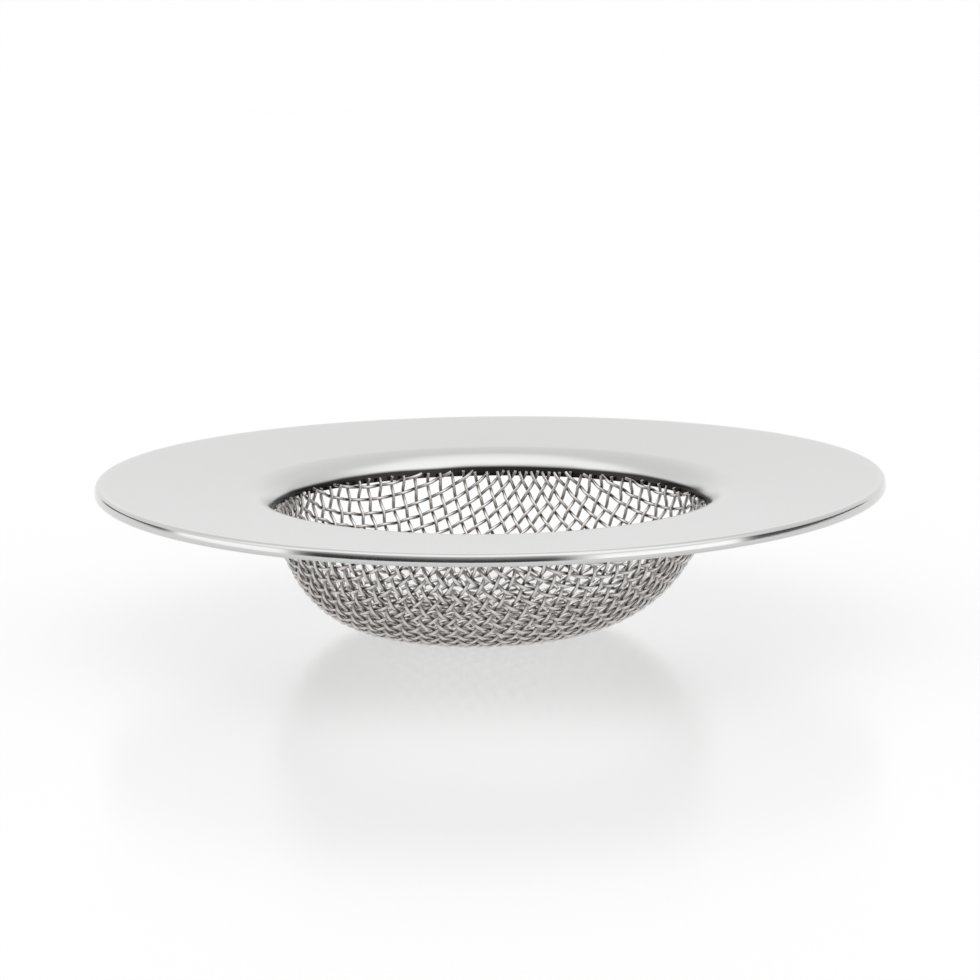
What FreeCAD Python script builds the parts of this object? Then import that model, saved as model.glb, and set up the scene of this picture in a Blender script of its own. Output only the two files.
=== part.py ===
"""Sink strainer: a pressed steel rim and a bowl of plain-woven wire, all sizes in millimetres.

The rim is one turned sheet: a curled outer bead, a slightly dished flange, a round shoulder and a
short collar. The bowl is wire cloth pressed to shape: each wire keeps its length, so the square
mesh shears into diamonds between the two wire directions. The origin is on the axis, at the
level that the lowest wires stand on, with +Z up.
"""
import FreeCAD
import Part

import math
import os

Vector = FreeCAD.Vector

# rim sheet
RIM_DIAMETER = 114.0
HOLE_DIAMETER = 64.4
SHEET = 0.45
BEAD_DIAMETER = 1.8
BEAD_TURN = math.radians(270.0)
FLANGE_SLOPE = math.radians(4.0)
SHOULDER_RADIUS = 2.8
COLLAR_HEIGHT = 1.6

# wire cloth
WIRE_DIAMETER = 0.45
WIRE_PITCH = 2.0
CROSSING_CLEARANCE = 0.02
WELD_GAP = 0.03
WELD_LENGTH = 1.0

# bowl, from the collar down to the standing plane
BOWL_DEPTH = 17.0
THROAT_RADIUS = 3.0
CORNER_RADIUS = 17.5
CROWN_RADIUS = 34.0
WALL_SLOPE = math.radians(60.0)
CROWN_SLOPE = math.radians(13.0)

# turning the cloth on the axis, seen from above
WEAVE_TURN_DEGREES = 34.0

# rounds of the step-by-step searches, and the share of a step that is close enough
SEARCH_ROUNDS = 40
CLOSE_ENOUGH_SHARE = 1e-12

UP = Vector(0, 0, 1)
AXIS_POINT = Vector(0, 0, 0)
FULL_TURN_DEGREES = 360.0
HALF_TURN_DEGREES = 180.0
QUARTER_TURN_DEGREES = 90.0

# sizes that follow
crimp = (WIRE_DIAMETER + CROSSING_CLEARANCE) / 2
cloth_half = crimp + WIRE_DIAMETER / 2
hole_radius = HOLE_DIAMETER / 2
cloth_radius = hole_radius - WELD_GAP - cloth_half
cloth_floor = cloth_half
cloth_top = cloth_floor + BOWL_DEPTH
collar_bottom = cloth_top - WELD_LENGTH


def bowl_stretches():
    """The bowl's section from the axis to its edge, as (length, start r, start z, slope, radius)."""
    upright = math.pi / 2
    arcs = [
        (CROWN_RADIUS, 0.0, CROWN_SLOPE),
        (CORNER_RADIUS, CROWN_SLOPE, WALL_SLOPE),
        (THROAT_RADIUS, WALL_SLOPE, upright),
    ]
    runs = [radius * (math.sin(end) - math.sin(start)) for radius, start, end in arcs]
    rises = [radius * (math.cos(start) - math.cos(end)) for radius, start, end in arcs]
    wall_rise = BOWL_DEPTH - WELD_LENGTH - sum(rises)
    wall_run = wall_rise / math.tan(WALL_SLOPE)
    flat_run = cloth_radius - sum(runs) - wall_run
    wall_length = wall_rise / math.sin(WALL_SLOPE)

    plan = [(flat_run, 0.0, None)]
    for radius, start, end in arcs[:-1]:
        plan.append((radius * (end - start), start, radius))
    plan.append((wall_length, WALL_SLOPE, None))
    radius, start, end = arcs[-1]
    plan.append((radius * (end - start), start, radius))
    plan.append((WELD_LENGTH, upright, None))

    stretches = []
    r, z = 0.0, cloth_floor
    for length, slope, radius in plan:
        stretches.append((length, r, z, slope, radius))
        step_r, step_z, slope = along_stretch(length, slope, radius)
        r += step_r
        z += step_z
    return stretches


def along_stretch(distance, slope, radius):
    """How far a straight or round stretch leads from its start, and its slope there."""
    if radius is None:
        return distance * math.cos(slope), distance * math.sin(slope), slope
    end = slope + distance / radius
    run = radius * (math.sin(end) - math.sin(slope))
    rise = radius * (math.cos(slope) - math.cos(end))
    return run, rise, end


STRETCHES = bowl_stretches()
cloth_reach = sum(stretch[0] for stretch in STRETCHES)


def bowl_section(distance):
    """Radius, height and slope of the cloth's middle at a distance from the axis along the section."""
    left = distance
    for length, r, z, slope, radius in STRETCHES:
        if left <= length:
            break
        left -= length
    else:
        left += length
    step_r, step_z, slope = along_stretch(left, slope, radius)
    return r + step_r, z + step_z, slope


def cloth_point(distance, angle):
    """A point of the cloth's middle surface and the surface's outward normal there."""
    r, z, slope = bowl_section(distance)
    outward = Vector(math.cos(angle), math.sin(angle), 0)
    point = outward * r + UP * z
    normal = outward * math.sin(slope) - UP * math.cos(slope)
    return point, normal


def next_knot(before_a, before_b, corner, step):
    """The place one step from two known knots: (distance, angle), by Newton's method."""
    point_a = cloth_point(*before_a)[0]
    point_b = cloth_point(*before_b)[0]
    guess = point_a + point_b - cloth_point(*corner)[0]
    distance = before_a[0] + before_b[0] - corner[0]
    angle = math.atan2(guess.y, guess.x)
    for _ in range(SEARCH_ROUNDS):
        r, z, slope = bowl_section(distance)
        outward = Vector(math.cos(angle), math.sin(angle), 0)
        sideways = Vector(-math.sin(angle), math.cos(angle), 0)
        point = outward * r + UP * z
        along = outward * math.cos(slope) + UP * math.sin(slope)
        around = sideways * r
        from_a = point - point_a
        from_b = point - point_b
        miss_a = (from_a.dot(from_a) - step * step) / 2
        miss_b = (from_b.dot(from_b) - step * step) / 2
        a_along, a_around = from_a.dot(along), from_a.dot(around)
        b_along, b_around = from_b.dot(along), from_b.dot(around)
        area = a_along * b_around - a_around * b_along
        distance -= (miss_a * b_around - miss_b * a_around) / area
        angle -= (miss_b * a_along - miss_a * b_along) / area
        if abs(miss_a) + abs(miss_b) < step * step * CLOSE_ENOUGH_SHARE:
            break
    return distance, angle


def cloth_knots():
    """Net of knots half a pitch apart in one quarter of the cloth, keyed by whole steps (i, j)."""
    step = WIRE_PITCH / 2
    reach = cloth_reach + 2 * WIRE_PITCH
    count = int(reach / step) + 2
    knots = {(0, 0): (0.0, 0.0)}
    for k in range(1, count):
        knots[(k, 0)] = (k * step, 0.0)
        knots[(0, k)] = (k * step, math.pi / 2)
    for total in range(2, 2 * count):
        for i in range(1, total):
            j = total - i
            if i >= count or j >= count:
                continue
            known = [(i - 1, j), (i, j - 1), (i - 1, j - 1)]
            if all(key in knots and knots[key][0] < reach for key in known):
                knots[(i, j)] = next_knot(*(knots[key] for key in known), step)
    return knots


def unit(vector):
    """The vector at length one."""
    return vector * (1 / vector.Length)


def wire_crests(knots, row):
    """Crest points of one wire from end to end, each a point with the wire's direction there."""
    i = 2 * row + 1
    half = []
    column = 0
    while (i, 2 * column + 1) in knots:
        half.append(knots[(i, 2 * column + 1)])
        column += 1
    places = [(distance, -angle) for distance, angle in reversed(half)] + half
    middles = [cloth_point(*place) for place in places]
    crests = []
    for k in range(1, len(middles) - 1):
        point, normal = middles[k]
        side = 1 if (row + k - len(half)) % 2 == 0 else -1
        direction = unit(middles[k + 1][0] - middles[k - 1][0])
        crests.append((point + normal * (side * crimp), direction))
    return crests


def joined_by_arcs(start, end):
    """Two tangent arcs from one crest to the next, each as (start, direction, end)."""
    point_a, direction_a = start
    point_b, direction_b = end
    across = point_b - point_a
    both = direction_a + direction_b
    bend = 2 * (1 - direction_a.dot(direction_b))
    pull = 2 * across.dot(both)
    span = across.dot(across)
    root = math.sqrt(pull * pull + 4 * bend * span)
    reach = 2 * span / (pull + root)
    handle_a = point_a + direction_a * reach
    handle_b = point_b - direction_b * reach
    middle = (handle_a + handle_b) * (1 / 2)
    turned = unit(handle_b - handle_a)
    return [(point_a, direction_a, middle), (middle, turned, point_b)]


def arc_frame(start, direction, end):
    """Centre, axis and angle of the arc that leaves a point in a direction and meets another."""
    chord = end - start
    axis = unit(direction.cross(chord))
    inward = axis.cross(direction)
    radius = chord.dot(chord) / (2 * chord.dot(inward))
    angle = 2 * math.asin(chord.Length / (2 * radius))
    return start + inward * radius, axis, angle


def turned_about(point, centre, axis, angle):
    """A point carried round an axis through a centre."""
    arm = point - centre
    return centre + arm * math.cos(angle) + axis.cross(arm) * math.sin(angle)


def trimmed_arc(arc):
    """The share of an arc below the cloth's edge, or None when the arc starts above it."""
    start, direction, end = arc
    if start.z >= cloth_top:
        return None
    if end.z <= cloth_top:
        return arc
    centre, axis, angle = arc_frame(*arc)
    low, high = 0.0, angle
    for _ in range(SEARCH_ROUNDS):
        middle = (low + high) / 2
        if turned_about(start, centre, axis, middle).z < cloth_top:
            low = middle
        else:
            high = middle
    return start, direction, turned_about(start, centre, axis, low)


def half_run(crests):
    """Arcs from a wire's middle crest outward, ending at the cloth's edge."""
    arcs = []
    for start, end in zip(crests, crests[1:]):
        for arc in joined_by_arcs(start, end):
            kept = trimmed_arc(arc)
            if kept is None:
                return arcs
            arcs.append(kept)
            if kept is not arc:
                return arcs
    return arcs


def swept_faces(arcs):
    """Round wire faces along a chain of tangent arcs, and the end section."""
    start, direction, _ = arcs[0]
    section = Part.makeCircle(WIRE_DIAMETER / 2, start, direction)
    faces = []
    for arc in arcs:
        centre, axis, angle = arc_frame(*arc)
        degrees = math.degrees(angle)
        faces.append(section.revolve(centre, axis, degrees))
        section = section.copy()
        section.rotate(centre, axis, degrees)
    return faces, section


def woven_wire(knots, row):
    """One crimped wire of the cloth as a closed solid."""
    crests = wire_crests(knots, row)
    middle = len(crests) // 2
    onward = half_run(crests[middle:])
    back = [(point, direction * -1) for point, direction in reversed(crests[:middle + 1])]
    backward = half_run(back)
    faces = []
    for arcs in (onward, backward):
        sides, end = swept_faces(arcs)
        faces += sides
        faces.append(Part.Face(Part.Wire([end])))
    shell = Part.Compound(faces)
    shell.sewShape()
    solid = Part.Solid(Part.Shell(shell.Faces))
    if solid.Volume < 0:
        solid.reverse()
    return solid


def section_point(r, z):
    """A point of the rim's section, which lies in the plane of X and Z."""
    return Vector(r, 0, z)


def beside(place, heading, offset):
    """The point beside a place on the sheet's middle line, to the left of its heading."""
    r, z = place
    return section_point(r - offset * math.sin(heading), z + offset * math.cos(heading))


def moved(place, heading, length, radius):
    """Where a straight run, or a bend to the right, leads: the new place and heading."""
    r, z = place
    if radius is None:
        return (r + length * math.cos(heading), z + length * math.sin(heading)), heading
    turned = heading - length / radius
    centre_r = r + radius * math.sin(heading)
    centre_z = z - radius * math.cos(heading)
    return (centre_r - radius * math.sin(turned), centre_z + radius * math.cos(turned)), turned


def sheet_section(place, heading, moves):
    """Closed section of a bent sheet whose middle line makes these runs and bends."""
    sides = {SHEET / 2: [], -SHEET / 2: []}
    first = [beside(place, heading, offset) for offset in sides]
    for length, radius in moves:
        half_place, half_heading = moved(place, heading, length / 2, radius)
        end_place, end_heading = moved(place, heading, length, radius)
        for offset, edges in sides.items():
            start = beside(place, heading, offset)
            end = beside(end_place, end_heading, offset)
            if radius is None:
                edges.append(Part.LineSegment(start, end).toShape())
            else:
                middle = beside(half_place, half_heading, offset)
                edges.append(Part.Arc(start, middle, end).toShape())
        place, heading = end_place, end_heading
    last = [beside(place, heading, offset) for offset in sides]
    caps = [Part.LineSegment(*ends).toShape() for ends in (first, last)]
    edges = [edge for side in sides.values() for edge in side] + caps
    return Part.Face(Part.Wire(Part.__sortEdges__(edges)))


def pressed_rim():
    """Collar, shoulder, dished flange and curled bead, turned from one sheet."""
    upright = math.pi / 2
    shoulder = SHOULDER_RADIUS - SHEET / 2
    curl = (BEAD_DIAMETER - SHEET) / 2
    collar_middle = hole_radius + SHEET / 2
    flange_start = collar_middle + shoulder * (1 - math.sin(FLANGE_SLOPE))
    flange_end = RIM_DIAMETER / 2 - BEAD_DIAMETER / 2 - curl * math.sin(FLANGE_SLOPE)
    moves = [
        (COLLAR_HEIGHT, None),
        (shoulder * (upright - FLANGE_SLOPE), shoulder),
        ((flange_end - flange_start) / math.cos(FLANGE_SLOPE), None),
        (curl * BEAD_TURN, curl),
    ]
    section = sheet_section((collar_middle, collar_bottom), upright, moves)
    return section.revolve(AXIS_POINT, UP, FULL_TURN_DEGREES)


def turned_copy(shape, degrees):
    """The shape turned about the strainer's axis."""
    copy = shape.copy()
    copy.rotate(AXIS_POINT, UP, degrees)
    return copy


def wire_pairs():
    """Named pairs of like wires on either side of the middle, the warp and then the weft."""
    knots = cloth_knots()
    pairs = {}
    row = 0
    while (2 * row + 1) * WIRE_PITCH / 2 < cloth_reach - WIRE_DIAMETER:
        wire = woven_wire(knots, row)
        for name, across in (("warp", 0.0), ("weft", QUARTER_TURN_DEGREES)):
            turns = [WEAVE_TURN_DEGREES + across + opposite for opposite in (0.0, HALF_TURN_DEGREES)]
            both = [turned_copy(wire, turn) for turn in turns]
            pairs[f"{name}_pair_{row + 1:02d}"] = Part.makeCompound(both)
        row += 1
    return pairs


def main():
    """Write one file for the rim and one for each pair of wires."""
    os.makedirs("parts", exist_ok=True)
    pieces = {"rim": pressed_rim(), **wire_pairs()}
    for name, shape in pieces.items():
        shape.exportStep(f"parts/{name}.step")
    print(len(pieces), "pieces written")


main()
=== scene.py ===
"""Sink strainer: satin pressed rim, woven wire bowl and a pale studio, dressed on the CAD frame."""
import math

import bpy
import numpy as np
from mathutils import Matrix, Vector


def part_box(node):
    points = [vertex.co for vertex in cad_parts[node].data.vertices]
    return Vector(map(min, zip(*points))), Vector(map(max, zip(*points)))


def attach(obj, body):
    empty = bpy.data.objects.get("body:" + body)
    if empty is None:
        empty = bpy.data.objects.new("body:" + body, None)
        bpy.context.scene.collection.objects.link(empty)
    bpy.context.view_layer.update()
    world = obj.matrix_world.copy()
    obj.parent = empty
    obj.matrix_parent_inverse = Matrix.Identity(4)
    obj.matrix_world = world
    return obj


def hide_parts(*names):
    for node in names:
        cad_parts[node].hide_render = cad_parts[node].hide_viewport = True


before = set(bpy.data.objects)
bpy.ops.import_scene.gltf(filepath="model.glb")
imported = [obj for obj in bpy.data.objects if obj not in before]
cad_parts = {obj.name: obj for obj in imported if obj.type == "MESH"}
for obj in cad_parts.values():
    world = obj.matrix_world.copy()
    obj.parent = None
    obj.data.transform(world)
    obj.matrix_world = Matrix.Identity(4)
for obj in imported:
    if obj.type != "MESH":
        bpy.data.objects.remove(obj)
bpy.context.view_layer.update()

bl_info = {
    "name": "Sink strainer",
    "version": (1, 0, 0),
    "blender": (4, 5, 0),
    "location": "View3D > Sidebar > Strainer",
    "description": "Builds the looks of a sink strainer on its CAD frame",
    "category": "Object",
}

# sizes read from the frame, in metres
BODY = "root"
RIM_LOW, RIM_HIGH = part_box("rim")
RIM_RADIUS = RIM_HIGH.x
RIM_TOP = RIM_HIGH.z
COLLAR_BOTTOM = RIM_LOW.z
MM = 0.001

# steps of the rim's section along a tight bend, a gentle bend or a flat, and the short lip
BEND_STEPS = 18
LONG_STEPS = 9
LIP_STEPS = 3
RIM_CREASE = math.radians(50.0)

# grain of the rim's sheet: noise scales and details, how far the edge of the painted shade band
# wavers, and small shares
CLOUD_SCALE = 60.0
CLOUD_DETAIL = 3.0
GRAIN_SCALE = 1800.0
GRAIN_DETAIL = 2.0
BAND_WAVER = 0.0004
DULL_SHARE = 0.95
CLOUD_ROUGHNESS = 0.06
RIDGE_RATE = 30000.0
RIDGE_SHARE = 0.15
SHEET_BUMP = {"Strength": 0.08, "Distance": 0.00002}

# tone of the wire: noise scales and their detail, how far the tone shifts the crests' painted
# highlight, and where that painted highlight starts over the painted shade of the dips
TONE_SCALE = 350.0
FINE_SCALE = 6000.0
WIRE_DETAIL = 2.0
TONE_SHIFT = 0.3
HIGHLIGHT_START = 0.15
HIGHLIGHT_FULL = 0.9
TONE_ROUGHNESS = 0.15
WIRE_BUMP = {"Strength": 0.1, "Distance": 0.00001}
CREST = "crest"

# fineness of the cloth: samples between knots, sides of a wire, rows of the section's table,
# steps of Newton's method, and the pitches that table and net go on past the cloth's edge
SAMPLES_PER_STEP = 6
WIRE_SIDES = 10
TABLE_ROWS = 6001
NEWTON_STEPS = 30
TABLE_MARGIN = 4
NET_MARGIN = 2
WIRE_CREASE = math.radians(60.0)
WANDER_SEED = 7
# the most that a wire's end falls short, in shares of the uneven spacing
END_SHORT = 2

# studio: what gloss sees is white, and brighter high up on the camera's side (heights in degrees)
PICTURE_SIDE = 980
SENSOR_WIDTH = 36.0
FLOOR_CUTS = 8
WHITE = (1.0, 1.0, 1.0, 1.0)
FRONT_EXTRA = 0.45
FRONT_START = -0.9
FRONT_FULL = 0.5
HIGH_START = 12.0
HIGH_FULL = 45.0
# soft-edged patches in what gloss sees: middle, half width and edge across, bottom, top and edge
# upwards (degrees, from the camera's side round to the right), and tone
PATCHES = (
    (180.0, 95.0, 30.0, 14.0, 75.0, 16.0, 0.95),
    (55.0, 30.0, 8.0, -90.0, 13.0, 8.0, 1.6),
    (-80.0, 26.0, 10.0, -90.0, 13.0, 8.0, 1.5),
    (-17.0, 44.0, 12.0, -90.0, 60.0, 36.0, 0.5),
    (106.0, 34.0, 10.0, -90.0, 48.0, 30.0, 0.85),
    (-17.0, 44.0, 12.0, -90.0, 13.0, 8.0, 0.03),
    (106.0, 34.0, 10.0, -90.0, 15.0, 8.0, 0.1),
    (-126.0, 28.0, 12.0, -90.0, 15.0, 8.0, 0.12),
)

# sockets of the colour Mix node, which share their names
MIX_FIRST, MIX_SECOND, MIX_RESULT = 6, 7, 2


class RimSettings(bpy.types.PropertyGroup):
    """Sizes and finish of the pressed rim."""

    sheet: bpy.props.FloatProperty(
        name="Sheet", description="Thickness of the rim's sheet",
        default=0.00045, min=0.0001, unit="LENGTH")
    hole: bpy.props.FloatProperty(
        name="Hole", description="Radius of the hole at the collar's lower edge",
        default=0.0314, min=0.005, unit="LENGTH")
    brow: bpy.props.FloatProperty(
        name="Brow", description="Radius of the outer edge where the flange turns down",
        default=0.0006, min=0.0003, unit="LENGTH")
    brow_turn: bpy.props.FloatProperty(
        name="Brow turn", description="How far the flange turns down before the cheek",
        default=math.radians(79.0), subtype="ANGLE")
    cheek: bpy.props.FloatProperty(
        name="Cheek", description="Radius of the outer edge's upright side",
        default=0.007, min=0.0003, unit="LENGTH")
    cheek_turn: bpy.props.FloatProperty(
        name="Cheek turn", description="How far the upright side turns before the curl",
        default=math.radians(5.2), subtype="ANGLE")
    bead: bpy.props.FloatProperty(
        name="Curl", description="Diameter of the curl under the outer edge",
        default=0.0012, min=0.0005, unit="LENGTH")
    bead_turn: bpy.props.FloatProperty(
        name="Curl turn", description="How far the outer edge is curled on under the rim",
        default=math.radians(190.0), subtype="ANGLE")
    shoulder: bpy.props.FloatProperty(
        name="Shoulder", description="Radius of the shoulder round the hole",
        default=0.0036, min=0.0005, unit="LENGTH")
    ease: bpy.props.FloatProperty(
        name="Ease", description="Radius of the gentle bend between flange and shoulder",
        default=0.009, min=0.0005, unit="LENGTH")
    ease_turn: bpy.props.FloatProperty(
        name="Ease turn", description="How far the gentle bend turns",
        default=math.radians(14.0), subtype="ANGLE")
    lip: bpy.props.FloatProperty(
        name="Lip", description="Length of the straight part of the collar below the shoulder",
        default=0.0004, min=0.0001, unit="LENGTH")
    lip_slope: bpy.props.FloatProperty(
        name="Lip slope", description="How steep the straight part of the collar is",
        default=math.radians(82.0), subtype="ANGLE")
    slope: bpy.props.FloatProperty(
        name="Flange slope", description="How far the flange dishes towards the hole",
        default=math.radians(4.0), subtype="ANGLE")
    segments: bpy.props.IntProperty(
        name="Segments", description="Steps round the rim", default=512, min=64)
    colour: bpy.props.FloatVectorProperty(
        name="Steel", description="Colour of the satin sheet", subtype="COLOR",
        size=4, default=(0.63, 0.63, 0.625, 1.0), min=0.0, max=1.0)
    # painted shade: the collar's inside is painted near-black, standing for the shadowed gap behind
    # the wire ends
    band: bpy.props.FloatVectorProperty(
        name="Shade band", description="Colour of the painted shade inside the collar",
        subtype="COLOR", size=4, default=(0.04, 0.0375, 0.0355, 1.0), min=0.0, max=1.0)
    band_height: bpy.props.FloatProperty(
        name="Shade band height",
        description="How far the darkened band reaches above the CAD collar's edge",
        default=0.00205, unit="LENGTH")
    saddle: bpy.props.FloatProperty(
        name="Saddle", description="How far the pressed rim lifts at its left and right",
        default=0.0003, unit="LENGTH")
    satin: bpy.props.FloatProperty(
        name="Satin", description="Roughness of the flange", default=0.2, subtype="FACTOR")
    polish: bpy.props.FloatProperty(
        name="Polish", description="Roughness of the outer edge", default=0.12, subtype="FACTOR")


class WireSettings(bpy.types.PropertyGroup):
    """Sizes and finish of the woven wire bowl."""

    wire: bpy.props.FloatProperty(
        name="Wire", description="Diameter of the wire",
        default=0.0005, min=0.0001, unit="LENGTH")
    pitch: bpy.props.FloatProperty(
        name="Pitch", description="Spacing of the wires before pressing",
        default=0.002, unit="LENGTH")
    clearance: bpy.props.FloatProperty(
        name="Clearance", description="Gap between crossing wires",
        default=0.00002, unit="LENGTH")
    depth: bpy.props.FloatProperty(
        name="Depth", description="Depth of the bowl below the top of the weld",
        default=0.017, unit="LENGTH")
    weld: bpy.props.FloatProperty(
        name="Weld", description="Length of upright wire at the weld",
        default=0.001, unit="LENGTH")
    ends: bpy.props.FloatProperty(
        name="Ends", description="Height of the wire ends above the CAD collar's edge",
        default=0.0016, unit="LENGTH")
    weld_gap: bpy.props.FloatProperty(
        name="Weld gap", description="Gap between cloth and collar",
        default=0.00003, unit="LENGTH")
    throat: bpy.props.FloatProperty(
        name="Throat", description="Radius of the bend below the collar",
        default=0.008, unit="LENGTH")
    corner: bpy.props.FloatProperty(
        name="Corner", description="Radius between wall and floor",
        default=0.0175, unit="LENGTH")
    crown: bpy.props.FloatProperty(
        name="Crown", description="Radius where the floor starts to rise",
        default=0.034, unit="LENGTH")
    wall_slope: bpy.props.FloatProperty(
        name="Wall slope", description="Slope of the straight wall",
        default=math.radians(60.0), subtype="ANGLE")
    crown_slope: bpy.props.FloatProperty(
        name="Crown slope", description="Slope where the corner starts",
        default=math.radians(13.0), subtype="ANGLE")
    turn: bpy.props.FloatProperty(
        name="Turn", description="Turn of the cloth about the axis",
        default=math.radians(34.0), subtype="ANGLE")
    lean: bpy.props.FloatProperty(
        name="Lean",
        description="How far the pressing leaves the bowl's floor to the left of the axis",
        default=0.0018, unit="LENGTH")
    uneven: bpy.props.FloatProperty(
        name="Uneven",
        description="How far wires wander from even spacing, as a share of the pitch",
        default=0.06, subtype="FACTOR")
    # painted light: the crest colour is a painted highlight where wires stand out, the dip colour
    # painted shade where they pass below others
    crest: bpy.props.FloatVectorProperty(
        name="Crests", description="Colour of the wires where they stand out of the cloth",
        subtype="COLOR", size=4, default=(0.70, 0.675, 0.655, 1.0), min=0.0, max=1.0)
    dip: bpy.props.FloatVectorProperty(
        name="Dips", description="Colour of the wires where they pass below others",
        subtype="COLOR", size=4, default=(0.30, 0.288, 0.28, 1.0), min=0.0, max=1.0)
    roughness: bpy.props.FloatProperty(
        name="Roughness", description="Roughness of the drawn wire",
        default=0.18, subtype="FACTOR")


class StudioSettings(bpy.types.PropertyGroup):
    """Camera, floor and light."""

    elevation: bpy.props.FloatProperty(
        name="Elevation", description="Camera's height above the horizon",
        default=math.radians(10.2), subtype="ANGLE")
    distance: bpy.props.FloatProperty(
        name="Distance", description="Camera's distance from the rim's middle",
        default=0.7, unit="LENGTH")
    roll: bpy.props.FloatProperty(
        name="Roll", description="Camera's turn about its own axis",
        default=math.radians(-0.63), subtype="ANGLE")
    scale: bpy.props.FloatProperty(
        name="Scale", description="Pixels for a millimetre at the rim's middle", default=6.927)
    centre_x: bpy.props.FloatProperty(
        name="Centre across", description="Pixel column of the rim's middle", default=490.0)
    centre_y: bpy.props.FloatProperty(
        name="Centre down", description="Pixel row of the rim's middle", default=477.7)
    floor: bpy.props.FloatVectorProperty(
        name="Floor", description="Colour of the floor", subtype="COLOR",
        size=4, default=(1.0, 1.0, 1.0, 1.0), min=0.0, max=1.0)
    glow: bpy.props.FloatProperty(
        name="Glow", description="Share of the floor that shows plain white and takes no shadow",
        default=0.6, subtype="FACTOR")
    coat_ior: bpy.props.FloatProperty(
        name="Coat index", description="Refractive index of the floor's coat", default=1.35)
    coat_roughness: bpy.props.FloatProperty(
        name="Coat roughness", description="Roughness of the floor's coat",
        default=0.2, subtype="FACTOR")
    floor_size: bpy.props.FloatProperty(
        name="Floor size", description="Side of the floor", default=6.0, unit="LENGTH")


class Socket:
    """A shader socket that takes part in sums: each operator adds a Math node to its tree."""

    def __init__(self, graph, socket):
        self.graph = graph
        self.socket = socket

    def _sum(self, operation, first, second):
        return self.graph.node("ShaderNodeMath", {"operation": operation}, {0: first, 1: second})

    def __add__(self, other):
        return self._sum("ADD", self, other)

    def __radd__(self, other):
        return self._sum("ADD", other, self)

    def __sub__(self, other):
        return self._sum("SUBTRACT", self, other)

    def __rsub__(self, other):
        return self._sum("SUBTRACT", other, self)

    def __mul__(self, other):
        return self._sum("MULTIPLY", self, other)

    def __rmul__(self, other):
        return self._sum("MULTIPLY", other, self)

    def __pow__(self, other):
        return self._sum("POWER", self, other)


class Graph:
    """A node tree that is filled by expressions."""

    def __init__(self, tree):
        self.tree = tree
        tree.nodes.clear()

    def node(self, kind, settings=None, inputs=None, output=0):
        """Add a node, apply its settings, then set or link its sockets; gives one output."""
        made = self.tree.nodes.new(kind)
        for name, value in (settings or {}).items():
            setattr(made, name, value)
        for name, value in (inputs or {}).items():
            if isinstance(value, Socket):
                self.tree.links.new(value.socket, made.inputs[name])
            else:
                made.inputs[name].default_value = value
        return Socket(self, made.outputs[output]) if made.outputs else None

    def between(self, value, low, high):
        """Nought below low, one above high, smooth between."""
        return self.node(
            "ShaderNodeMapRange", {"interpolation_type": "SMOOTHSTEP"},
            {"Value": value, "From Min": low, "From Max": high})

    def mix(self, factor, first, second):
        """A colour between two colours."""
        return self.node(
            "ShaderNodeMix", {"data_type": "RGBA"},
            {"Factor": factor, MIX_FIRST: first, MIX_SECOND: second}, MIX_RESULT)

    def noise(self, place, scale, detail):
        """Smooth noise of a scale, from nought to one."""
        return self.node(
            "ShaderNodeTexNoise", None, {"Vector": place, "Scale": scale, "Detail": detail})

    def split(self, vector):
        """The three parts of a vector."""
        return [self.node("ShaderNodeSeparateXYZ", None, {0: vector}, k) for k in range(3)]


def new_graph(name):
    """A new material and the empty graph of its nodes."""
    material = bpy.data.materials.new(name)
    material.use_nodes = True
    return material, Graph(material.node_tree)


def place_parts(graph):
    """Object coordinates, the height in them and the distance from the axis."""
    place = graph.node("ShaderNodeTexCoord", output="Object")
    x, y, z = graph.split(place)
    radius = (x * x + y * y) ** 0.5
    return place, z, radius


def metal(graph, colour, roughness, bump):
    """End a material's graph with bare metal."""
    surface = graph.node(
        "ShaderNodeBsdfPrincipled", None,
        {"Base Color": colour, "Metallic": 1.0, "Roughness": roughness, "Normal": bump})
    graph.node("ShaderNodeOutputMaterial", None, {"Surface": surface})


def rim_steel(settings):
    """Satin sheet steel, smoother on the outer edge, with a band of painted shade in the collar."""
    material, graph = new_graph("rim_steel")
    place, height, radius = place_parts(graph)
    sheet = settings.sheet
    edge_start = RIM_RADIUS - settings.bead
    on_edge = graph.between(radius, edge_start - sheet, edge_start + sheet)
    cloudy = graph.noise(place, CLOUD_SCALE, CLOUD_DETAIL)
    grain = graph.noise(place, GRAIN_SCALE, GRAIN_DETAIL)
    # painted shade: below band_top, inside the collar, the steel is painted near-black as the
    # shadowed gap behind the wire ends
    band_top = COLLAR_BOTTOM + settings.band_height
    wavering = height + BAND_WAVER * (cloudy - 0.5)
    low = 1 - graph.between(wavering, band_top - sheet / 2, band_top + sheet / 2)
    inside = 1 - graph.between(radius, settings.hole + sheet, settings.hole + 2 * sheet)
    dull = tuple(DULL_SHARE * c for c in settings.colour[:3]) + (1.0,)
    steel = graph.mix(cloudy, dull, tuple(settings.colour))
    colour = graph.mix(low * inside, steel, tuple(settings.band))
    smoother = (settings.polish - settings.satin) * on_edge
    roughness = settings.satin + smoother + CLOUD_ROUGHNESS * (cloudy - 0.5)
    ridges = graph.node("ShaderNodeMath", {"operation": "SINE"}, {0: radius * RIDGE_RATE})
    relief = grain + RIDGE_SHARE * ridges
    bump = graph.node("ShaderNodeBump", None, {**SHEET_BUMP, "Height": relief})
    metal(graph, colour, roughness, bump)
    return material


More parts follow.
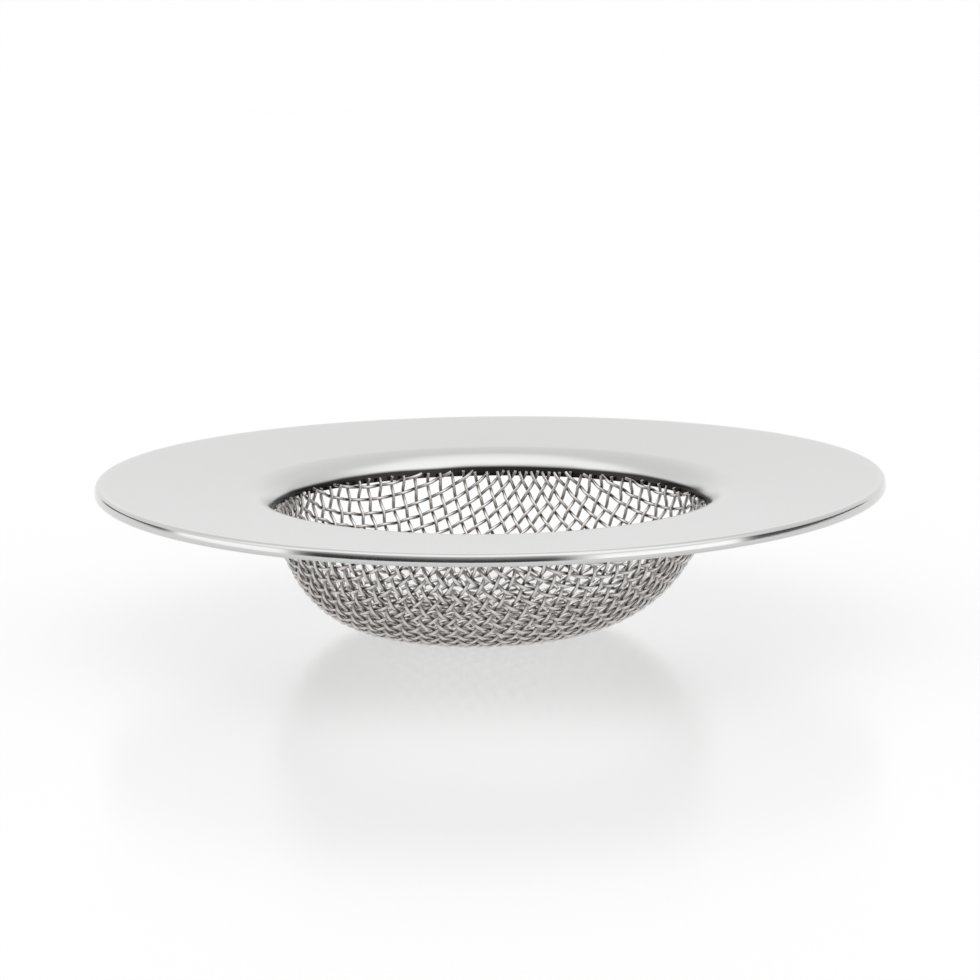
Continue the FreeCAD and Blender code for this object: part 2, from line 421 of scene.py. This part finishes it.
def wire_steel(settings):
    """Drawn wire: painted highlight on the crests, painted shade where it dips, small changes of
    tone.
    """
    material, graph = new_graph("wire_steel")
    place = graph.node("ShaderNodeTexCoord", output="Object")
    tone = graph.noise(place, TONE_SCALE, WIRE_DETAIL)
    fine = graph.noise(place, FINE_SCALE, WIRE_DETAIL)
    height = graph.node("ShaderNodeAttribute", {"attribute_name": CREST}, output="Fac")
    # painted light: a painted highlight on the crests, fading to painted shade in the dips where
    # wires pass below others
    highlit_share = graph.between(height + TONE_SHIFT * (tone - 0.5), HIGHLIGHT_START, HIGHLIGHT_FULL)
    colour = graph.mix(highlit_share, tuple(settings.dip), tuple(settings.crest))
    roughness = settings.roughness + TONE_ROUGHNESS * (tone - 0.5)
    bump = graph.node("ShaderNodeBump", None, {**WIRE_BUMP, "Height": fine})
    metal(graph, colour, roughness, bump)
    return material


def sheet_line(settings):
    """Middle line of the rim's sheet as distances from the axis, heights and headings.

    It runs up the lip, over shoulder and gentle bend, out along the flange, and down over brow,
    cheek and curl. Each stretch is straight, or turns right at a steady rate, so the heading falls
    evenly along it and the points add up from the cosine and sine of the heading.
    """
    half = settings.sheet / 2
    shoulder, ease = settings.shoulder - half, settings.ease - half
    brow, cheek, curl = settings.brow - half, settings.cheek - half, settings.bead / 2 - half
    curl_slope = settings.brow_turn + settings.cheek_turn
    start = settings.hole + half
    ease_slope = settings.slope + settings.ease_turn
    shoulder_turn = settings.lip_slope - ease_slope
    brow_bend = settings.brow_turn + settings.slope
    flange_start = (start + settings.lip * math.cos(settings.lip_slope)
                    + shoulder * (math.sin(settings.lip_slope) - math.sin(ease_slope))
                    + ease * (math.sin(ease_slope) - math.sin(settings.slope)))
    outermost = RIM_RADIUS - half
    flange_end = (outermost - curl * (1 - math.sin(curl_slope))
                  - cheek * (math.sin(curl_slope) - math.sin(settings.brow_turn))
                  - brow * (math.sin(settings.brow_turn) + math.sin(settings.slope)))
    flange = (flange_end - flange_start) / math.cos(settings.slope)
    stretches = [
        (settings.lip, 0.0, LIP_STEPS),
        (shoulder * shoulder_turn, shoulder_turn, BEND_STEPS),
        (ease * settings.ease_turn, settings.ease_turn, LONG_STEPS),
        (flange, 0.0, LONG_STEPS),
        (brow * brow_bend, brow_bend, BEND_STEPS),
        (cheek * settings.cheek_turn, settings.cheek_turn, LONG_STEPS),
        (curl * settings.bead_turn, settings.bead_turn, BEND_STEPS),
    ]
    lengths = np.concatenate([np.full(steps, length / steps) for length, turn, steps in stretches])
    turns = np.concatenate([np.full(steps, turn / steps) for length, turn, steps in stretches])
    headings = settings.lip_slope - np.concatenate([[0.0], np.cumsum(turns)])
    middle = headings[:-1] - turns / 2
    half_turns = np.where(turns == 0, 1.0, turns / 2)
    chords = lengths * np.where(turns == 0, 1.0, np.sin(half_turns) / half_turns)
    r = start + np.concatenate([[0.0], np.cumsum(chords * np.cos(middle))])
    z = np.concatenate([[0.0], np.cumsum(chords * np.sin(middle))])
    return r, z - z.max() + RIM_TOP - half, headings


def sheet_section(settings):
    """Closed section: the sheet's middle line moved half a sheet left, then back on the right."""
    r, z, heading = sheet_line(settings)
    half = settings.sheet / 2
    left = np.stack([r - half * np.sin(heading), z + half * np.cos(heading)], 1)
    right = np.stack([r + half * np.sin(heading), z - half * np.cos(heading)], 1)
    return np.concatenate([left, right[::-1]])


def turned_mesh(name, section, segments, saddle):
    """Mesh of a closed section turned about Z and bent a little to a saddle.

    A point at r and z of the section goes to x = r cos(a), y = r sin(a) and
    z + saddle (x x - y y) / (R R), with the rim's radius R.
    """
    angle = np.linspace(0.0, 2 * math.pi, segments, endpoint=False)
    r, z = section.T
    x, y = np.outer(np.cos(angle), r), np.outer(np.sin(angle), r)
    points = np.stack([x, y, z + saddle * (x * x - y * y) / RIM_RADIUS ** 2], -1)
    across = np.arange(len(r))
    along = np.arange(segments)[:, None]
    next_across = np.roll(across, -1)
    next_along = np.roll(along, -1, axis=0)
    corners = np.stack([
        along * len(r) + across, along * len(r) + next_across,
        next_along * len(r) + next_across, next_along * len(r) + across], -1)
    return grid_mesh(name, points.reshape(-1, 3), corners.reshape(-1, 4))


def grid_mesh(name, points, corners):
    """A smooth mesh from an array of points and an array of four-cornered faces."""
    mesh = bpy.data.meshes.new(name)
    mesh.vertices.add(len(points))
    mesh.vertices.foreach_set("co", np.ascontiguousarray(points, np.float32).ravel())
    mesh.loops.add(corners.size)
    mesh.loops.foreach_set("vertex_index", corners.astype(np.int32).ravel())
    mesh.polygons.add(len(corners))
    mesh.polygons.foreach_set("loop_start", np.arange(0, corners.size, 4, dtype=np.int32))
    mesh.update(calc_edges=True)
    mesh.validate()
    mesh.polygons.foreach_set("use_smooth", np.ones(len(corners), bool))
    return mesh


def linked(mesh):
    """A new object of the mesh in the scene."""
    piece = bpy.data.objects.new(mesh.name, mesh)
    bpy.context.scene.collection.objects.link(piece)
    return piece


class STRAINER_OT_rim(bpy.types.Operator):
    """Turn the pressed rim and give it its satin steel."""

    bl_idname = "strainer.rim"
    bl_label = "Pressed rim"

    def execute(self, context):
        settings = context.scene.strainer_rim
        section = sheet_section(settings)
        mesh = turned_mesh("pressed_rim", section, settings.segments, settings.saddle)
        mesh.set_sharp_from_angle(angle=RIM_CREASE)
        mesh.materials.append(rim_steel(settings))
        rim = linked(mesh)
        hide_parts("rim")
        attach(rim, BODY)
        return {"FINISHED"}


class Cloth:
    """The pressed cloth as a net of knots half a pitch apart, and the wires woven along it."""

    def __init__(self, settings, hole):
        self.settings = settings
        self.hole = hole
        self.crimp = (settings.wire + settings.clearance) / 2
        self.half = self.crimp + settings.wire / 2
        self.top = COLLAR_BOTTOM + settings.ends
        self.section = self._section()
        self.points, self.normals = self._net()

    def _section(self):
        """Table of the bowl's section: distance along it, r, z and slope of the cloth's middle.

        Straight floor, two arcs, straight wall, throat arc and upright edge follow each other with
        no kink, so the slope is known at every distance. Its cosine and sine add up to r and z.
        """
        s = self.settings
        upright = math.pi / 2
        radius = self.hole - s.weld_gap - self.half
        arcs = [(s.crown, 0.0, s.crown_slope), (s.corner, s.crown_slope, s.wall_slope),
                (s.throat, s.wall_slope, upright)]
        run = sum(r * (math.sin(b) - math.sin(a)) for r, a, b in arcs)
        rise = sum(r * (math.cos(a) - math.cos(b)) for r, a, b in arcs)
        wall_rise = s.depth - s.weld - rise
        floor = radius - run - wall_rise / math.tan(s.wall_slope)
        lengths = [floor, *(r * (b - a) for r, a, b in arcs[:2]),
                   wall_rise / math.sin(s.wall_slope), s.throat * (upright - s.wall_slope)]
        self.reach = sum(lengths) + s.weld
        last = self.reach + TABLE_MARGIN * s.pitch
        ends = np.concatenate([[0.0], np.cumsum(lengths), [last]])
        slopes = [0.0, 0.0, s.crown_slope, s.wall_slope, s.wall_slope, upright, upright]
        distance = np.linspace(0.0, last, TABLE_ROWS)
        slope = np.interp(distance, ends, slopes)
        middle = (slope[1:] + slope[:-1]) / 2
        step = distance[1]
        r = np.concatenate([[0.0], np.cumsum(np.cos(middle))]) * step
        z = self.half + np.concatenate([[0.0], np.cumsum(np.sin(middle))]) * step
        return distance, r, z, slope

    def _place(self, distance, angle):
        """Point, outward normal and the two tangents of the cloth at a distance and an angle."""
        table = self.section
        r, z, slope = (np.interp(distance, table[0], column) for column in table[1:])
        nil = np.zeros_like(r)
        outward = np.stack([np.cos(angle), np.sin(angle), nil], -1)
        sideways = np.stack([-np.sin(angle), np.cos(angle), nil], -1)
        up = np.stack([nil, nil, nil + 1], -1)
        cosine, sine = np.cos(slope)[..., None], np.sin(slope)[..., None]
        point = outward * r[..., None] + up * z[..., None]
        normal = outward * sine - up * cosine
        along = outward * cosine + up * sine
        return point, normal, along, sideways * r[..., None]

    def _net(self):
        """Points and normals of one quarter's knots: each knot lies one step from two earlier ones,
        so they are found diagonal by diagonal."""
        step = self.settings.pitch / 2
        limit = self.reach + NET_MARGIN * self.settings.pitch
        count = int(limit / step) + 2
        distance = np.full((count, count), np.nan)
        angle = np.full((count, count), np.nan)
        distance[:, 0] = distance[0, :] = np.arange(count) * step
        angle[:, 0], angle[0, :] = 0.0, math.pi / 2
        for total in range(2, 2 * count - 1):
            i = np.arange(max(1, total - count + 1), min(total, count))
            j = total - i
            known = [(i - 1, j), (i, j - 1), (i - 1, j - 1)]
            ready = np.all([distance[key] < limit for key in known], axis=0)
            if ready.any():
                known = [(a[ready], b[ready]) for a, b in known]
                distance[i[ready], j[ready]], angle[i[ready], j[ready]] = self._step_out(
                    [(distance[key], angle[key]) for key in known], step)
        return self._place(distance, angle)[:2]

    def _step_out(self, known, step):
        """Places one step from two known knots, by Newton's method on both distances at once."""
        (point_a, *_), (point_b, *_), (corner, *_) = (self._place(*place) for place in known)
        guess = point_a + point_b - corner
        distance = known[0][0] + known[1][0] - known[2][0]
        angle = np.arctan2(guess[..., 1], guess[..., 0])
        for _ in range(NEWTON_STEPS):
            point, _, along, around = self._place(distance, angle)
            from_a, from_b = point - point_a, point - point_b
            miss_a = ((from_a ** 2).sum(-1) - step ** 2) / 2
            miss_b = ((from_b ** 2).sum(-1) - step ** 2) / 2
            aa, ar = (from_a * along).sum(-1), (from_a * around).sum(-1)
            ba, br = (from_b * along).sum(-1), (from_b * around).sum(-1)
            area = aa * br - ar * ba
            distance = distance - (miss_a * br - miss_b * ar) / area
            angle = angle - (miss_b * aa - miss_a * ba) / area
        return distance, angle

    def line(self, u, v):
        """Points and normals along the net's line u at the places v, by smooth cubic steps."""
        low = int(u)
        share = u - low
        mirror = np.array([1.0, -1.0, 1.0])
        found = []
        for net in (self.points, self.normals):
            side = net[low] * (1 - share) + net[low + 1] * share
            whole = np.concatenate([side[:0:-1] * mirror, side])
            k = np.floor(v).astype(int)
            t = (v - k)[:, None]
            k = k + len(side) - 1
            p0, p1, p2, p3 = (whole[np.clip(k + d, 0, len(whole) - 1)] for d in (-1, 0, 1, 2))
            bend = (2 * p0 - 5 * p1 + 4 * p2 - p3) * t ** 2 + (3 * p1 - p0 - 3 * p2 + p3) * t ** 3
            found.append(p1 + ((p2 - p0) * t + bend) / 2)
        return found

    def wire(self, row, u, crossings, top):
        """Centre line, normals and lift of one wire: the net's line, lifted out and in by a cosine
        between crossings."""
        v = np.arange(crossings[0], crossings[-1], 1 / SAMPLES_PER_STEP)
        points, normals = self.line(u, v)
        phase = np.interp(v, crossings, np.arange(len(crossings)) - len(crossings) // 2 + row)
        lift = self.crimp * np.cos(math.pi * phase)
        path = points + normals * lift[:, None]
        kept = np.flatnonzero(~(path[:, 2] <= top))
        middle = len(v) // 2
        first = kept[kept < middle].max(initial=-1) + 1
        last = kept[kept > middle].min(initial=len(v))
        return path[first:last], normals[first:last], lift[first:last]


def tube(path, normal, lift, radius, sides):
    """Points, faces and heights of a round tube: path + radius (cos(a) normal + sin(a) binormal).

    Its ends are closed. A point's height is how far it lies from the cloth's middle, on either
    side: the size of lift + radius cos(a).
    """
    along = np.gradient(path, axis=0)
    along /= np.linalg.norm(along, axis=1, keepdims=True)
    binormal = np.cross(along, normal)
    binormal /= np.linalg.norm(binormal, axis=1, keepdims=True)
    normal = np.cross(binormal, along)
    angle = np.arange(sides) * (2 * math.pi / sides)
    ring = np.cos(angle)[:, None] * normal[:, None] + np.sin(angle)[:, None] * binormal[:, None]
    points = path[:, None] + radius * ring
    a = np.arange(sides)
    b = np.roll(a, -1)
    start = np.arange(len(path) - 1)[:, None] * sides
    walls = np.stack([start + a, start + b, start + sides + b, start + sides + a], -1)
    k = np.arange((sides - 2) // 2)
    cap = np.stack([k, k + 1, sides - 2 - k, sides - 1 - k], 1)
    last = (len(path) - 1) * sides
    faces = np.concatenate([walls.reshape(-1, 4), cap[:, ::-1], cap + last])
    height = np.abs(lift[:, None] + radius * np.cos(angle))
    return points.reshape(-1, 3), faces, height.ravel()


def turned(points, angle):
    """Points turned about Z."""
    c, s = math.cos(angle), math.sin(angle)
    return points @ np.array([[c, s, 0.0], [-s, c, 0.0], [0.0, 0.0, 1.0]])


def leaned(points, top, lean):
    """Points moved left by the lean times the square of their depth below the cloth's edge."""
    depth = np.clip(1 - points[:, 2] / top, 0.0, 1.0)
    return points - np.stack([lean * depth ** 2, 0 * depth, 0 * depth], 1)


def woven(cloth, settings):
    """Points, faces and crest values of both wires of each pair, by the name of the pair's node.

    The places are odd steps of half a pitch, moved a little by chance. Wires of one quarter are
    laid on the net from its middle outwards, and each quarter is then turned to its own side.
    """
    rows = sum(name.startswith("warp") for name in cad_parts)
    even = 2 * np.arange(-rows - 1, rows + 1) + 1.0
    chance = np.random.default_rng(WANDER_SEED)
    places = {name: even + 2 * settings.uneven * chance.uniform(-1, 1, len(even))
              for name in ("warp", "weft")}
    # each quarter turn: the family it draws, and the signs of its own and the crossing places
    quarters = ((0, "warp", "weft", 1, 1), (1, "weft", "warp", 1, -1),
                (2, "warp", "weft", -1, -1), (3, "weft", "warp", -1, 1))
    wires = {}
    for quarter, own, other, own_sign, other_sign in quarters:
        own_places = np.sort(own_sign * places[own])
        crossings = np.sort(other_sign * places[other])
        angle = settings.turn + quarter * math.pi / 2
        for row in range(rows):
            short = settings.uneven * settings.pitch * chance.uniform(-END_SHORT, 0)
            line = cloth.wire(row, own_places[rows + 1 + row], crossings, cloth.top + short)
            points, faces, height = tube(*line, settings.wire / 2, WIRE_SIDES)
            points = leaned(turned(points, angle), cloth.top, settings.lean)
            pair = wires.setdefault(f"{own}_pair_{row + 1:02d}", [])
            pair.append((points, faces, height / cloth.half))
    return wires


def pair_mesh(name, first, second):
    """One mesh of two wires, with the crest value of each point."""
    points = np.concatenate([first[0], second[0]])
    faces = np.concatenate([first[1], second[1] + len(first[0])])
    crests = np.concatenate([first[2], second[2]]).astype(np.float32)
    mesh = grid_mesh(name, points, faces)
    mesh.attributes.new(CREST, "FLOAT", "POINT").data.foreach_set("value", crests)
    mesh.set_sharp_from_angle(angle=WIRE_CREASE)
    return mesh


class STRAINER_OT_wires(bpy.types.Operator):
    """Weave the wires of the bowl, a pair at a time, and give them their drawn steel."""

    bl_idname = "strainer.wires"
    bl_label = "Woven wires"

    def execute(self, context):
        settings = context.scene.strainer_wires
        steel = wire_steel(settings)
        cloth = Cloth(settings, context.scene.strainer_rim.hole)
        for node, pair in woven(cloth, settings).items():
            mesh = pair_mesh("woven_" + node, *pair)
            mesh.materials.append(steel)
            piece = linked(mesh)
            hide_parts(node)
            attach(piece, BODY)
        return {"FINISHED"}


def window(graph, value, low, high, soft):
    """One between two limits, nought outside, with soft edges."""
    return graph.between(value, low, low + soft) * (1 - graph.between(value, high - soft, high))


def studio_world():
    """White world in which gloss sees extra light high at the front, and soft patches of a room."""
    world = bpy.data.worlds.new("studio")
    bpy.context.scene.world = world
    world.use_nodes = True
    graph = Graph(world.node_tree)
    x, y, z = graph.split(graph.node("ShaderNodeTexCoord", output="Generated"))
    side = graph.node("ShaderNodeMath", {"operation": "ARCTAN2"}, {0: x, 1: 0 - y})
    height = graph.node("ShaderNodeMath", {"operation": "ARCSINE"}, {0: z}) * math.degrees(1.0)
    front = graph.between(0 - y, FRONT_START, FRONT_FULL)
    light = 1.0 + FRONT_EXTRA * front * graph.between(height, HIGH_START, HIGH_FULL)
    for middle, half, edge, bottom, top, rise, tone in PATCHES:
        aside = side - math.radians(middle)
        nearness = graph.node("ShaderNodeMath", {"operation": "COSINE"}, {0: aside})
        outer, inner = math.cos(math.radians(half)), math.cos(math.radians(half - edge))
        patch = graph.between(nearness, outer, inner) * window(graph, height, bottom, top, rise)
        light = light + patch * (tone - light)
    glossy = graph.node("ShaderNodeLightPath", output="Is Glossy Ray")
    gloss = graph.node("ShaderNodeBackground", None, {"Color": WHITE, "Strength": light})
    white = graph.node("ShaderNodeBackground", None, {"Color": WHITE, "Strength": 1.0})
    shown = graph.node("ShaderNodeMixShader", None, {"Fac": glossy, 1: white, 2: gloss})
    graph.node("ShaderNodeOutputWorld", None, {"Surface": shown})


def floor_paint(settings):
    """Pale coated floor: part glows white for camera and gloss, and the rest takes the shadow."""
    material, graph = new_graph("floor_paint")
    camera = graph.node("ShaderNodeLightPath", output="Is Camera Ray")
    glossy = graph.node("ShaderNodeLightPath", output="Is Glossy Ray")
    seen = graph.node("ShaderNodeMath", {"operation": "MAXIMUM"}, {0: camera, 1: glossy})
    plain = graph.node("ShaderNodeBsdfDiffuse", None, {"Color": tuple(settings.floor)})
    glow = graph.node("ShaderNodeEmission", None, {"Color": WHITE, "Strength": 1.0})
    base = graph.node("ShaderNodeMixShader", None, {"Fac": settings.glow * seen, 1: plain, 2: glow})
    coat = graph.node(
        "ShaderNodeBsdfAnisotropic", None, {"Color": WHITE, "Roughness": settings.coat_roughness})
    shine = graph.node("ShaderNodeFresnel", None, {"IOR": settings.coat_ior})
    surface = graph.node("ShaderNodeMixShader", None, {"Fac": shine * camera, 1: base, 2: coat})
    graph.node("ShaderNodeOutputMaterial", None, {"Surface": surface})
    return material


def studio_camera(settings):
    """Camera at an elevation and distance from the rim's middle, which lies on a given pixel."""
    data = bpy.data.cameras.new("camera")
    camera = bpy.data.objects.new("camera", data)
    bpy.context.scene.collection.objects.link(camera)
    focal_pixels = settings.scale * settings.distance / MM
    data.sensor_width = SENSOR_WIDTH
    data.lens = focal_pixels / PICTURE_SIDE * SENSOR_WIDTH
    back = Vector((0.0, -math.cos(settings.elevation), math.sin(settings.elevation)))
    turn = (-back).to_track_quat("-Z", "Y").to_matrix() @ Matrix.Rotation(settings.roll, 3, "Z")
    half = PICTURE_SIDE / 2
    aside = (half - settings.centre_x) / focal_pixels * settings.distance
    above = (settings.centre_y - half) / focal_pixels * settings.distance
    middle = Vector((0.0, 0.0, RIM_TOP))
    camera.matrix_world = (
        Matrix.Translation(middle + back * settings.distance + turn @ Vector((aside, above, 0.0)))
        @ turn.to_4x4())
    bpy.context.scene.camera = camera


def studio_floor(settings):
    """A flat square floor at the level the strainer stands on."""
    row = FLOOR_CUTS + 1
    side = np.linspace(-0.5, 0.5, row) * settings.floor_size
    x, y = np.meshgrid(side, side)
    points = np.stack([x, y, np.zeros_like(x)], -1).reshape(-1, 3)
    first = (np.arange(FLOOR_CUTS)[:, None] * row + np.arange(FLOOR_CUTS)).ravel()
    corners = np.stack([first, first + 1, first + row + 1, first + row], 1)
    mesh = grid_mesh("floor", points, corners)
    mesh.materials.append(floor_paint(settings))
    linked(mesh)


class STRAINER_OT_studio(bpy.types.Operator):
    """Set the pale floor, the soft light and the camera."""

    bl_idname = "strainer.studio"
    bl_label = "Studio"

    def execute(self, context):
        settings = context.scene.strainer_studio
        context.scene.view_settings.view_transform = "Standard"
        studio_world()
        studio_floor(settings)
        studio_camera(settings)
        return {"FINISHED"}


class STRAINER_PT_panel(bpy.types.Panel):
    """Lists the strainer's pieces and settings."""

    bl_label = "Sink strainer"
    bl_idname = "STRAINER_PT_panel"
    bl_space_type = "VIEW_3D"
    bl_region_type = "UI"
    bl_category = "Strainer"

    def draw(self, context):
        for operator, group in PIECES:
            self.layout.operator(operator.bl_idname)
            settings = getattr(context.scene, group)
            for name in settings.bl_rna.properties.keys():
                if name not in {"rna_type", "name"}:
                    self.layout.prop(settings, name)


PIECES = (
    (STRAINER_OT_rim, "strainer_rim"),
    (STRAINER_OT_wires, "strainer_wires"),
    (STRAINER_OT_studio, "strainer_studio"),
)
GROUPS = {
    "strainer_rim": RimSettings,
    "strainer_wires": WireSettings,
    "strainer_studio": StudioSettings,
}


def register():
    """Add the settings, operators and panel to Blender."""
    for name, group in GROUPS.items():
        bpy.utils.register_class(group)
        setattr(bpy.types.Scene, name, bpy.props.PointerProperty(type=group))
    for operator, _ in PIECES:
        bpy.utils.register_class(operator)
    bpy.utils.register_class(STRAINER_PT_panel)


def unregister():
    """Take them away again."""
    bpy.utils.unregister_class(STRAINER_PT_panel)
    for operator, _ in PIECES:
        bpy.utils.unregister_class(operator)
    for name, group in GROUPS.items():
        delattr(bpy.types.Scene, name)
        bpy.utils.unregister_class(group)


def main():
    register()
    bpy.ops.strainer.rim()
    bpy.ops.strainer.wires()
    bpy.ops.strainer.studio()


if __name__ == "__main__":
    main()
